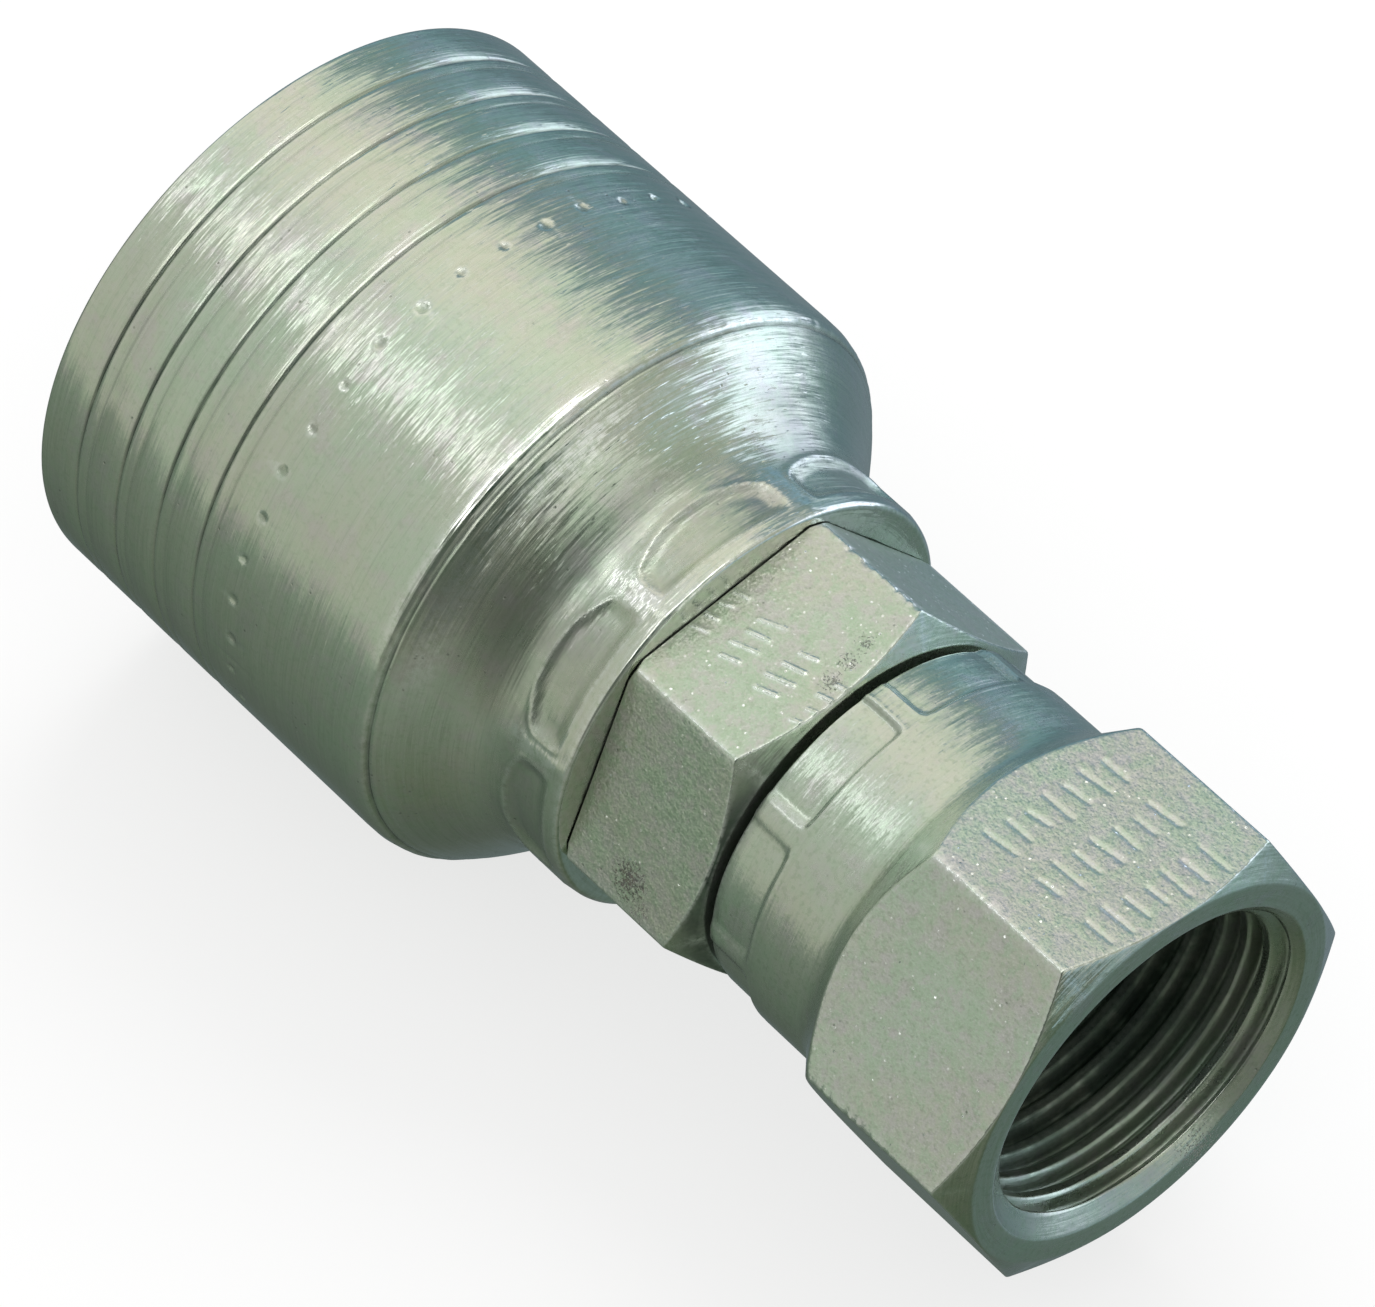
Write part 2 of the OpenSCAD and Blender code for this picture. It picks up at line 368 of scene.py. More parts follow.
def bezier(a, b, c, d, t):
    return a * (1 - t) ** 3 + 3 * b * (1 - t) ** 2 * t + 3 * c * (1 - t) * t * t + d * t ** 3


def ferrule_rows():
    """Rows along the outside, closer where something happens."""
    rows = WALL_ROWS + LINE_ROWS
    rows += [groove + offset for groove in GROOVES for offset in GROOVE_ROWS]
    rows += [DIMPLE_X + offset for offset in DIMPLE_ROWS]
    rows += list(np.arange(36.0, 41.4, 0.5))
    rows += list(np.arange(41.6, 46.2, 0.2))
    return np.array(sorted(rows))


def ferrule_profile(x):
    """Radius of the plain wall, shoulder and neck."""
    t = np.linspace(0, 1, 400)
    curve_x = bezier(SHOULDER_X, SHOULDER_X + 3.2, NECK_X - 4.3, NECK_X, t)
    curve_r = bezier(FERRULE_R, FERRULE_R - 0.4, NECK_R + 0.3, NECK_R, t)
    radius = np.where(x < SHOULDER_X, FERRULE_R, np.interp(x, curve_x, curve_r))
    return np.where(x > NECK_X, NECK_R, radius)


def cut_grooves(skin):
    x, turn = skin.x, degrees_from(skin.beta)
    # the grooves' painted shade and the painted highlight beside them fade low on the near side
    # and on top
    line_strength = 1 - 0.65 * window(turn, -176, -150, -90, -62) - 0.40 * window(turn, -24, -6, 22, 42)
    for i, groove in enumerate(GROOVES):
        vary = 1 + 0.25 * ring_noise(x, skin.beta, 40 + i)
        # a long lead-in on the open end's side, a short steep wall towards the nut
        lead = np.where(x < groove, np.clip(1 - (groove - x) / 0.95, 0, 1) ** 1.15,
                        bell(x - groove, 0.16))
        skin.radius -= 0.17 * vary * lead + 0.10 * bell(x - groove, 0.10)
        skin.radius -= 0.03 * vary * bell(x - groove - 1.22, 0.10)
        # a painted highlight beside each groove, painted shade in it and in the faint line after
        # it
        skin.rub(0.5 * line_strength * bell(x - groove - 0.28, 0.12))
        skin.shade_and_soil(line_strength * bell(x - groove, 0.12))
        skin.shade_and_soil(0.30 * line_strength * bell(x - groove - 1.22, 0.12))


def punch_dimples(skin):
    """A ring of punched dimples with a faint raised rim."""
    across = turn_from(skin.beta, DIMPLE_TURN, DIMPLES) * DEG * FERRULE_R
    which = place_index(skin.beta, DIMPLE_TURN, DIMPLES)
    jog = np.sin(which * 2.4) * 0.16
    size = 0.46 + 0.09 * np.sin(which * 1.7 + 1)
    press = 0.6 + 0.4 * np.abs(np.sin(which * 3.3 + 0.4))
    away = np.sqrt((skin.x - DIMPLE_X - jog) ** 2 + across ** 2)
    bowl = np.clip(1 - (away / size) ** 2, 0, 1)
    skin.radius -= 0.20 * press * bowl ** 0.8
    skin.radius += 0.015 * bell(away - size - 0.08, 0.1)
    # a painted highlight round each rim, painted shade in each bowl
    skin.rub(0.8 * bell(away - size, 0.12))
    skin.shade_and_soil(0.35 * bowl)


def turn_shoulder(skin):
    """Two turned lines with a chipped ridge behind them, painted highlights along the ridge, and
    the shoulder's painted shade and stains.
    """
    x, turn = skin.x, degrees_from(skin.beta)
    skin.radius -= 0.16 * bell(x - 34.52, 0.11)
    skin.radius -= 0.05 * bell(x - 35.25, 0.09)
    around = (np.degrees(skin.beta) + 180) % 360 / 360
    chip = value_noise(around, 260, 31) + 0.7 * value_noise(around, 90, 32)
    skin.radius += (0.09 + 0.022 * chip) * bell(x - 34.08 - 0.05 * chip, 0.34)
    skin.radius -= 0.05 * window(x, 34.5, 35.1, 35.4, 38.5)
    # painted highlights along the ridge, strongest on top where the light falls
    skin.rub(0.8 * bell(x - 34.3, 0.14))
    skin.rub(1.5 * bell(x - 33.8 - 0.12 * chip, 0.34) * window(turn, -72, -50, -8, 8))
    skin.rub(window(x, 34.9, 35.4, 36.2, 37.4) * window(turn, -76, -58, -6, 14))
    # painted shade in the first line
    skin.shade_and_soil(0.8 * bell(x - 34.54, 0.1))
    # darker patches on the shoulder, some of them stains; the band on top from x 38.6 to 42 is
    # painted shade
    skin.shade_and_soil(0.24 * bell(turn - 34, 13) * window(x, 36.9, 38.2, 41.0, 43.0))
    skin.shade_and_soil(0.34 * bell(turn + 44, 17) * window(x, 36.9, 38.2, 39.8, 41.4))
    skin.shade_and_soil(0.30 * window(turn, -78, -56, 2, 22) * window(x, 38.6, 39.8, 41.0, 42.0))
    skin.shade_and_soil(0.50 * bell(turn + 31, 13) * window(x, 38.4, 39.4, 40.7, 41.6))


def dent_wall(skin):
    """Handling dents, one short scratch along the bore and a slight waviness."""
    x, beta = skin.x, skin.beta
    for dent_x, dent_turn, size, depth in DENTS:
        square = (x - dent_x) ** 2 + (degrees_from(beta, dent_turn) * DEG * FERRULE_R) ** 2
        skin.radius -= depth * np.exp(-square / size ** 2)
    across = degrees_from(beta, -92.0) * DEG * FERRULE_R
    skin.radius -= 0.05 * bell(across, 0.16) * window(x, 18.8, 19.4, 21.6, 22.2)
    skin.radius += 0.012 * ring_noise(x, beta, 7) * smooth(33, 30, x)


def press_stakes(skin):
    """Pads pressed into the neck: straight towards the nut, bowed towards the shoulder."""
    x, beta = skin.x, skin.beta
    turn = turn_from(beta, STAKE_TURN, PADS)
    which = place_index(beta, STAKE_TURN, PADS)
    across = turn * DEG * NECK_R
    half = 5.45 + 0.22 * np.sin(which * 2.1)
    depth = 0.43 + 0.06 * np.sin(which * 1.3 + 0.5)
    back = 42.2 + 1.15 * np.abs(across / 5.45) ** 2.2 + 0.14 * np.sin(which * 3.1)
    front = 45.75
    outside = soft_max(3.2, x - front, back - x, np.abs(across) - half)
    wall = smooth(0.36, -0.85, outside)
    skin.radius -= depth * wall * smooth(41.2, 42.2, x)
    # metal pushed up round each pad, most on the shoulder's side
    skin.radius += 0.13 * bell(outside - 0.34, 0.28) * window(x, 41.0, 42.0, 42.8, 44.6)
    skin.radius += 0.05 * bell(outside - 0.3, 0.2) * smooth(43.6, 44.6, x)
    # a crowned floor
    skin.radius += (0.12 * smooth(0.1, -1.2, outside) * (1 - (across / 5.4) ** 2)
                    * smooth(41.4, 42.2, x))
    skin.radius += 0.03 * ring_noise(x * 3, beta * 5, 17) * wall
    # the ribs between them stand a little proud and are brightened, by wear and by a painted
    # highlight
    from_rib = PAD_STEP / 2 - np.abs(turn)
    rib = bell(from_rib, 2.6)
    skin.radius += 0.10 * rib * smooth(41.8, 43.0, x)
    skin.radius -= 0.06 * (1 - bell(from_rib, 6)) * smooth(45.5, 46.2, x)
    # a painted highlight round each pad's rim
    skin.rub(0.75 * bell(outside - 0.22, 0.2) * smooth(41.4, 42.2, x))
    skin.rub(1.5 * rib * smooth(41.5, 42.4, x))
    # painted shade on the pads' walls; the neck between the ribs is darker too
    skin.shade_and_soil(0.10 * bell(outside + 0.1, 0.22) * window(x, 41.4, 42.0, 43.4, 44.8))
    skin.shade_and_soil(0.25 * bell(outside + 0.15, 0.2) * smooth(42.0, 42.6, x))
    skin.shade_and_soil(0.25 * window(x, 39.5, 41.8, 45.7, 46.3) * (1 - rib))


def ferrule_inside(beta, lip_lift):
    """The rest of the section: front lip, bore and rear rim. The lip follows the pads' ends."""
    bore, neck_bore = 21.1, 14.0
    points = [
        (46.3, NECK_R, 0, 0, 1), (FERRULE_END, NECK_R - 0.05, 0.95, 6, 1, 1.2),
        (FERRULE_END, neck_bore + 0.3, 0.15, 2, 1, 0.6), (FERRULE_END - 0.3, neck_bore, 0, 0, 1),
        (40.6, neck_bore, 0, 0, 1), (39.2, 15.6, 0, 0, 2), (34.9, bore - 1.0, 0, 0, 1),
        (34.2, bore, 0, 0, 1), (21.5, bore, 0, 0, 1), (21.05, bore - 0.5, 0, 0, 1),
        (20.35, bore - 0.5, 0, 0, 1), (20.0, bore, 0, 0, 3), (0.7, bore, 0.15, 2, 1, 0.7),
        (0.0, bore + 0.4, 0.12, 3, 1, 0.9), (0.0, FERRULE_R, 0.95, 7, 1, 0.35),
    ]
    # two stand-ins for the outside aim the roundings at both ends, then go
    outside = [(1.0, FERRULE_R, 0, 0, 1), (40, FERRULE_R, 0, 0, 1)]
    x, radius, edge = (rows[:-2] for rows in section(points + outside, beta))
    lip = smooth(47.2, 46.3, x) * (radius > 15.5) * (x > 40)
    skin = Skin(x, radius + lip * lip_lift, beta, edge[:, None])
    # painted shade down the bore and inside the neck
    skin.shade_and_grime = (smooth(21.6, 21.0, skin.radius) * smooth(0.2, 4, x) * (x < 45.5)
                 + smooth(14.6, 14.2, skin.radius) * (x > 45))
    return skin


def build_ferrule():
    centres = np.arange(DIMPLES)[:, None] * (360 / DIMPLES)
    beta = np.radians(DIMPLE_TURN + (centres + DIMPLE_COLUMNS).ravel())
    x = np.repeat(ferrule_rows()[:, None], len(beta), 1)
    outside = Skin(x, ferrule_profile(x), beta)
    cut_grooves(outside)
    punch_dimples(outside)
    turn_shoulder(outside)
    dent_wall(outside)
    press_stakes(outside)
    inside = ferrule_inside(beta, outside.radius[-1] - NECK_R)
    outside.radius = np.minimum(outside.radius, FERRULE_R)
    whole = Skin(np.vstack([x, inside.x]), np.vstack([outside.radius, inside.radius]), beta,
                 np.vstack([outside.edge, inside.edge]))
    whole.shade_and_grime = np.vstack([outside.shade_and_grime, inside.shade_and_grime])
    return make_turned("ferrule_shell", whole, "stem_body", "ferrule")


# ---------------------------------------------------------------- hose stem

def stem_section(beta, rounding):
    start, end = STEM_HEX_START, STEM_HEX_END
    hexagon = hex_radius(beta, STEM_APOTHEM, STEM_TURN, rounding)
    across_corners = STEM_APOTHEM / math.cos(30 * DEG)
    # rear corners barely broken, front corners chamfered at about 30 degrees
    rear_r = np.minimum(hexagon, across_corners - 0.42)
    rear_x = start + np.maximum(0.012, (hexagon - (across_corners - 0.45)) * 0.35 / 0.55)
    front_r = STEM_APOTHEM - 0.35
    slope = 1.5 / (across_corners + 0.1 - front_r)
    front_x = end - np.maximum(0.012, (hexagon - front_r) * slope)
    barb_r, root_r, bore, nose_bore = 12.95, 12.2, 10.2, 7.75
    collar_r, neck_r, head_r, nose_x = 13.9, 10.5, 12.0, 73.1
    # columns as in section()
    points = [(STEM_START, bore + 0.6, 0.1, 2, 1), (STEM_START, 12.0, 0.25, 3, 1)]
    for i in range(7):
        x = 1.0 + 4.3 * i
        points += [
            (STEM_START + 1.0 if i == 0 else x + 2.2, barb_r, 0.22, 3, 2, 0.5),
            (x + 3.2, barb_r, 0.16, 3, 1, 0.9), (x + 3.7, root_r, 0.12, 2, 3, 0),
        ]
    points += [
        (33.4, root_r, 0.2, 2, 1, 0), (34.0, 12.6, 0.2, 2, 2, 0), (40.0, 12.6, 0.3, 2, 1, 0),
        (41.0, collar_r, 0.2, 2, 1, 0.3), (42.4, collar_r, 0.1, 2, 1), (42.6, 12.5, 0.1, 2, 2, 0),
        (45.9, 12.5, 0.1, 2, 1, 0), (46.2, collar_r, 0.1, 2, 1), (start, collar_r, 0.06, 2, 1, 0),
        (start, rear_r, 0.05, 2, 1, 0.3), (rear_x, hexagon, 0.13, 3, 100, 0.8),
        (front_x, hexagon, 0.15, 4, 4, 0.9), (end, front_r, 0.14, 3, 3, 0.5),
        (end, neck_r + 0.45, 0.05, 2, 1, 0), (end + 0.4, neck_r, 0.3, 3, 4, 0),
        (65.2, neck_r, 0.3, 2, 2, 0), (66.85, head_r, 0.3, 3, 4, 0.4),
        (72.6, head_r, 0.15, 2, 1, 0.6), (nose_x, head_r - 0.5, 0.12, 2, 1, 0.6),
        (nose_x, 11.3, 0.12, 3, 6, 0.9),
        (nose_x - (11.6 - nose_bore) / math.tan(37 * DEG) + 0.4, nose_bore, 0.25, 3, 4, 0.4),
        (54.4, nose_bore, 0.6, 3, 2, 0), (52.0, bore, 0.6, 3, 8, 0),
        (STEM_START + 0.6, bore, 0.15, 2, 1, 0.6),
    ]
    return section(points, beta)


def build_stem():
    start, end = STEM_HEX_START, STEM_HEX_END
    rounding = 0.4
    # most steps on the flat that carries the batch mark
    beta = hex_angles(STEM_APOTHEM, STEM_TURN, rounding, (18, 18, 18, 150, 18, 18))
    x, radius, edge = stem_section(beta, rounding)
    skin = Skin(x, radius, beta, edge[:, None])
    # the corners are worn along their length
    in_hex = ((x > start - 0.01) & (x < end + 0.01) & (radius > 13.95)).astype(float)
    corner = corner_bell(beta, STEM_APOTHEM, STEM_TURN, rounding) * in_hex
    skin.rub(corner)
    flat = (in_hex * on_flat(skin, STEM_APOTHEM, STEM_TURN)
            * (x > start + 0.02) * (x < end - 0.02))
    skin.radius = skin.radius - corner * corner_nicks(skin, start, length=12, cells=34, seed=5)
    mark = flat * batch_mark(skin, STEM_APOTHEM, STEM_TURN, shift=1.35, rows=4,
                             first=start + 0.35, pitch=3.6, bars=4, height=1.9, width=0.17,
                             seed=11, lean=0.35)
    skin.radius += 0.12 * mark
    # the bars are brightened, a painted glint
    skin.rub(3.0 * mark)
    skin.flat = flat = flat * (1 - 0.9 * np.clip(2 * mark, 0, 1))
    # painted shade on the flat that faces up and away
    skin.shade_and_soil(0.32 * window(degrees_from(beta, STEM_TURN + FACE_UP), 28, 33, 87, 92) * flat)
    # painted shade in the gap before the nut, most low on the near side, and behind the hexagon
    low, radius = underside(beta), skin.radius
    skin.shade_and_soil(smooth(end - 1.4, end - 0.2, x) * (1 - flat) * in_hex * (0.04 + 0.80 * low))
    skin.shade_and_soil(smooth(end - 0.1, end + 0.1, x) * (0.10 + 0.80 * low))
    skin.shade_and_soil(smooth(33, 36, x) * (x < start - 0.01) * 0.9)
    # painted shade on the barbs, deepest at their roots and further in, then down the bore
    roots = 0.4 * smooth(12.8, 12.3, radius) * smooth(0, 1.5, x)
    skin.shade_and_soil((x < 35) * (radius > 11.5) * (0.12 + roots + 0.25 * smooth(2, 30, x)))
    skin.shade_and_soil((radius < 11.2) * (x < 72.8) * (0.18 + 0.5 * smooth(-1, 22, x)))
    return make_turned("stem_turned", skin, "stem_body", "hose_stem")


# ---------------------------------------------------------------- swivel nut

THREAD_MINOR, THREAD_MAJOR = 12.35, 13.495      # radii
THREAD_PITCH = 25.4 / 12
THREAD_START = 75.2


def nut_section(beta, rounding):
    start, end = NUT_START, NUT_END
    hexagon = hex_radius(beta, NUT_APOTHEM, NUT_TURN, rounding)
    corner_r = NUT_APOTHEM / math.cos(30 * DEG) + 0.1
    collar = 14.6
    # a flare of about 45 degrees behind the hexagon, a chamfer of about 30 in front
    flare_r = collar - 0.1
    rear_x = NUT_HEX_START + (hexagon - flare_r) * 3.75 / (corner_r - flare_r)
    front_r = NUT_APOTHEM - 0.1
    front_x = end - np.maximum(0.012, (hexagon - front_r) * 1.45 / (corner_r - front_r))
    relief, seat, throat = THREAD_MAJOR + 0.1, 12.09, 10.75
    # columns as in section()
    points = [
        (start, 11.2, 0.15, 2, 2, 0.4), (start, collar - 0.45, 0.42, 5, 1, 0.6),
        (start + 0.9, collar - 0.22, 0, 0, 14), (start + 3.7, collar - 0.19, 0, 0, 10),
        (start + 4.9, collar - 0.02, 0, 0, 5), (NUT_HEX_START - 0.2, collar, 1.5, 8, 4, 0),
        (rear_x, hexagon, 0.30, 4, 106, 0.5), (front_x, hexagon, 0.16, 4, 4, 0.9),
        (end, front_r, 0.14, 3, 4, 0.5), (end, 13.9, 0.1, 3, 1, 0.8),
        (end - 0.16, 13.7, 0, 0, 84), (THREAD_START - 0.05, THREAD_MINOR, 0, 0, 1),
        (74.9, relief, 0.1, 2, 1, 0), (74.3, relief, 0.1, 2, 1, 0), (74.0, seat, 0.05, 2, 3, 0.3),
        (66.35, seat, 0.2, 2, 2, 0), (64.9, throat, 0.2, 2, 4, 0),
        (start + 0.5, throat, 0.15, 2, 1, 0.4),
    ]
    return section(points, beta)


def cut_thread(skin, threaded):
    """Right-handed: crests at the minor radius, roots at the major one.

    Returns the distance from the middle of a root.
    """
    x = skin.x
    phase = ((x - THREAD_START) / THREAD_PITCH + skin.beta / (2 * math.pi)) % 1.0
    from_root = np.abs(phase - 0.5) * THREAD_PITCH
    half_root = 0.125 / 2 * THREAD_PITCH
    depth = (0.25 * smooth(half_root + 0.66, half_root + 0.02, from_root)
             + 0.75 * np.clip((0.70 - from_root) / 0.58, 0, 1))
    fade = smooth(THREAD_START - 0.02, THREAD_START + 1.2, x)
    mouth_cone = 13.9 - (NUT_END - x) * (13.9 - THREAD_MINOR) / 1.09
    thread = THREAD_MINOR + (THREAD_MAJOR - THREAD_MINOR) * depth * fade
    thread = np.maximum(thread, mouth_cone) + 0.012 * ring_noise(x, skin.beta, 91)
    skin.radius = np.where(threaded, thread, skin.radius)
    # a painted highlight along the crests
    crest = 0.16 * smooth(0.72, 0.86, from_root) * (mouth_cone < THREAD_MINOR)
    skin.edge = np.where(threaded, crest, skin.edge)
    return from_root


def press_crimps(skin):
    """Pads left by the crimping dies, open towards the rear.

    Returns the distance outside a pad and the mask of the collar.
    """
    x, beta = skin.x, skin.beta
    across = turn_from(beta, CRIMP_TURN, PADS) * DEG * 14.3
    which = place_index(beta, CRIMP_TURN, PADS)
    half = 4.75 + 0.12 * np.sin(which * 2.7)
    outside = soft_max(3.0, x - (NUT_START + 4.15), np.abs(across) - half)
    collar = ((skin.radius > 13.2) & (x < 65.4)).astype(float)
    lift = -(0.34 + 0.05 * np.sin(which * 1.9)) * smooth(0.16, -0.3, outside)
    lift += 0.05 * bell(outside - 0.24, 0.16)
    lift += 0.06 * smooth(0, -1.2, outside) * (1 - (across / 4.9) ** 2)
    skin.radius += lift * smooth(NUT_START - 0.3, NUT_START + 0.5, x) * collar
    # a painted highlight round each pad's rim
    skin.rub(0.6 * bell(outside - 0.1, 0.2) * collar
             * smooth(NUT_START + 0.1, NUT_START + 0.8, x))
    return outside, collar


def build_nut():
    rounding = 0.42
    # most steps on the flat that carries the batch mark
    beta = hex_angles(NUT_APOTHEM, NUT_TURN, rounding, (28, 28, 34, 122, 34, 28))
    x, radius, edge = nut_section(beta, rounding)
    skin = Skin(x, radius, beta, edge[:, None])
    past_collar = np.arange(len(x))[:, None] > 60       # rows after the collar's outside
    threaded = (x > THREAD_START - 0.06) & (x < NUT_END - 0.05) & (radius < 13.85) & past_collar
    from_root = cut_thread(skin, threaded)
    outside_pad, collar = press_crimps(skin)

    in_hex = ((x > NUT_HEX_START) & (skin.radius > 14.9)).astype(float)
    corner = corner_bell(beta, NUT_APOTHEM, NUT_TURN, rounding) * in_hex
    skin.rub(0.85 * corner * (skin.radius > 15.8))
    skin.flat = in_hex * on_flat(skin, NUT_APOTHEM, NUT_TURN) * (x < NUT_END - 0.05)
    skin.radius = skin.radius - corner * corner_nicks(skin, NUT_HEX_START, length=18, cells=46,
                                                      seed=15)
    mark = skin.flat * batch_mark(skin, NUT_APOTHEM, NUT_TURN, shift=-0.1, rows=3, first=75.6,
                                  pitch=4.7, bars=7, height=2.6, width=0.18, seed=21, lean=0.1)
    skin.radius -= 0.14 * mark
    # the bars are brightened, a painted glint
    skin.rub(0.8 * mark)

    # painted shade down the bore, in the thread, round the pads and on the rear face by the gap,
    # most low on the near side; the mark's middle is darker too
    skin.shade_and_soil(0.2 * smooth(0.6, 1.0, mark))
    bore = (skin.radius < 13.8) & past_collar
    skin.shade_and_soil(bore * (0.05 + 0.82 * smooth(NUT_END - 1.0, NUT_END - 8.5, x)))
    skin.shade_and_soil(threaded * (0.12 + 0.15 * smooth(0.6, 0.1, from_root)))
    skin.shade_and_soil(0.45 * bell(outside_pad + 0.05, 0.13) * collar)
    skin.shade_and_soil(smooth(NUT_START + 0.7, NUT_START, x) * (0.08 + 0.80 * underside(beta)))
    return make_turned("nut_body_shell", skin, "nut_body", "swivel_nut")


# ---------------------------------------------------------------- node graphs

class Wire:
    """A node's output. Arithmetic on it adds math nodes to its graph."""

    def __init__(self, graph, node, output=0):
        self.graph, self.node, self.socket = graph, node, node.outputs[output]

    def out(self, output):
        """Another output of the same node."""
        return Wire(self.graph, self.node, output)

    def __add__(self, other):
        return self.graph.math("ADD", self, other)

    def __radd__(self, other):
        return self.graph.math("ADD", other, self)

    def __sub__(self, other):
        return self.graph.math("SUBTRACT", self, other)

    def __rsub__(self, other):
        return self.graph.math("SUBTRACT", other, self)

    def __mul__(self, other):
        return self.graph.math("MULTIPLY", self, other)

    def __truediv__(self, other):
        return self.graph.math("DIVIDE", self, other)

    def times_plus(self, factor, extra):
        return self.graph.math("MULTIPLY_ADD", self, factor, extra)

    def range(self, low, high, to_low=0.0, to_high=1.0):
        """Eases from to_low at low to to_high at high."""
        values = dict(enumerate((self, low, high, to_low, to_high)))
        return self.graph.wire("ShaderNodeMapRange", values, interpolation_type="SMOOTHSTEP")


class Graph:
    """Builds a node tree. Inputs are given as {name or index: wire or value}."""

    def __init__(self, tree):
        self.tree = tree
        tree.nodes.clear()

    def add(self, kind, inputs={}, **settings):
        node = self.tree.nodes.new(kind)
        for key, value in settings.items():
            setattr(node, key, value)
        for key, value in inputs.items():
            if isinstance(value, Wire):
                self.tree.links.new(value.socket, node.inputs[key])
            else:
                node.inputs[key].default_value = value
        return node

    def wire(self, kind, inputs={}, output=0, **settings):
        return Wire(self, self.add(kind, inputs, **settings), output)

    def math(self, operation, *values, clamp=False):
        return self.wire("ShaderNodeMath", dict(enumerate(values)), operation=operation,
                         use_clamp=clamp)

    def vector_math(self, operation, *values, scale=None, output=0):
        inputs = dict(enumerate(values))
        if scale is not None:
            inputs["Scale"] = scale
        return self.wire("ShaderNodeVectorMath", inputs, output, operation=operation)

    def mix(self, factor, first, second, blend="MIX", **settings):
        return self.wire("ShaderNodeMix", {0: factor, 6: first, 7: second}, 2,
                         data_type="RGBA", blend_type=blend, **settings)

    def layers(self, colour, layers):
        """Lays (mask, colour) pairs over a colour, in order."""
        for mask, layer in layers:
            colour = self.mix(mask, colour, layer)
        return colour

    def ramp(self, factor, stops):
        wire = self.wire("ShaderNodeValToRGB", {0: factor})
        elements = wire.node.color_ramp.elements
        while len(elements) > 1:
            elements.remove(elements[-1])
        elements[0].position, elements[0].color = stops[0]
        for position, colour in stops[1:]:
            elements.new(position).color = colour
        return wire

    def noise(self, place, scale, detail, roughness):
        return self.wire("ShaderNodeTexNoise", {"Vector": place, "Scale": scale,
                                                "Detail": detail, "Roughness": roughness})

    def voronoi(self, place, scale):
        return self.wire("ShaderNodeTexVoronoi", {"Vector": place, "Scale": scale}, "Distance",
                         feature="F1")

    def vector(self, x, y, z):
        return self.wire("ShaderNodeCombineXYZ", {0: x, 1: y, 2: z})

    def split(self, vector):
        wire = self.wire("ShaderNodeSeparateXYZ", {0: vector})
        return wire, wire.out(1), wire.out(2)


# ---------------------------------------------------------------- zinc plating

def zinc_patterns(graph, seed):
    """The patterns and directions that colour, roughness and relief share."""
    pat = SimpleNamespace()
    coords = graph.wire("ShaderNodeTexCoord", output="Object")
    place = pat.place = graph.vector_math("SCALE", coords, scale=1000.0)     # millimetres
    x, y, z = graph.split(place)
    radius = graph.math("SQRT", y * y + z * z)
    pat.sin, pat.cos = y / radius, z / radius       # of the angle round the bore

    edge, pat.flat, shade_and_grime = (
        graph.wire("ShaderNodeAttribute", output="Fac", attribute_name=key)
        for key in ("edge", "flat", "shade_and_grime"))
    pat.turned = graph.math("SUBTRACT", 1.0, pat.flat, clamp=True)

    def rings(along, around, shift, detail=3.0, roughness=0.6):
        """Noise drawn out round the bore; along and around are its frequencies."""
        vector = graph.vector(x.times_plus(along, seed * 7.3 + shift),
                              pat.sin * around, pat.cos * around)
        return graph.wire("ShaderNodeTexNoise", {
            "Vector": vector, "W": radius * along, "Scale": 1.0, "Detail": detail,
            "Roughness": roughness}, noise_dimensions="4D")

    pat.patch = graph.noise(place, scale=0.10, detail=3.0, roughness=0.5)
    pat.blotch = graph.noise(graph.vector(x + (31.0 + seed), y, z), scale=0.33, detail=3.0,
                             roughness=0.6)
    pat.mottle = graph.noise(graph.vector(x, y + (17.0 + seed), z), scale=0.85, detail=4.0,
                             roughness=0.62)
    pat.speck = graph.noise(place, scale=2.6, detail=2.0, roughness=0.6)
    pat.micro = graph.noise(place, scale=5.5, detail=2.0, roughness=0.5)
    pat.ring = rings(along=3.0, around=1.2, shift=0.0, detail=4.0)
    pat.fine_ring = rings(along=9.0, around=4.0, shift=3.1, roughness=0.65)
    pat.streak = rings(along=6.2, around=6.5, shift=11.0, roughness=0.65)
    pat.streak2 = rings(along=7.0, around=4.0, shift=23.0, roughness=0.65)
    pat.scratch = rings(along=5.5, around=17.0, shift=41.0).range(0.57, 0.65)

    # the side 5 degrees off the top, where the light falls, carries the strongest marks; the
    # scratches brightened there are partly painted glints
    facing = pat.sin * math.sin(5 * DEG) + pat.cos * math.cos(5 * DEG)
    pat.rubbed = (pat.blotch - 0.5).times_plus(0.3, facing).range(0.66, 0.82, to_low=0.16)

    # small pits, in some blotches only
    pat.pit = (graph.voronoi(place, scale=1.15).range(0.0, 0.17, to_low=1.0, to_high=0.0)
               * pat.blotch.range(0.54, 0.66))
    # a few bright grains, painted glints
    grains = graph.voronoi(place, scale=2.3)
    pat.grain_colour = grains.out("Color")
    chosen = graph.wire("ShaderNodeSeparateColor", {0: pat.grain_colour})
    pat.glint = (chosen.range(0.70, 0.76) * grains.range(0.16, 0.30, to_low=1.0, to_high=0.0)
                 * pat.speck.range(0.42, 0.56))

    # stored wear and painted highlights, and painted shade with grime, broken up
    ragged = graph.noise(place, scale=1.9, detail=3.0, roughness=0.7)
    pat.edge = graph.math("MULTIPLY", edge, ragged.range(0.34, 0.60, to_low=0.12), clamp=True)
    pat.shade_and_grime = graph.math("MULTIPLY", shade_and_grime, pat.blotch.range(0.30, 0.60, to_low=0.65),
                          clamp=True)
    return pat


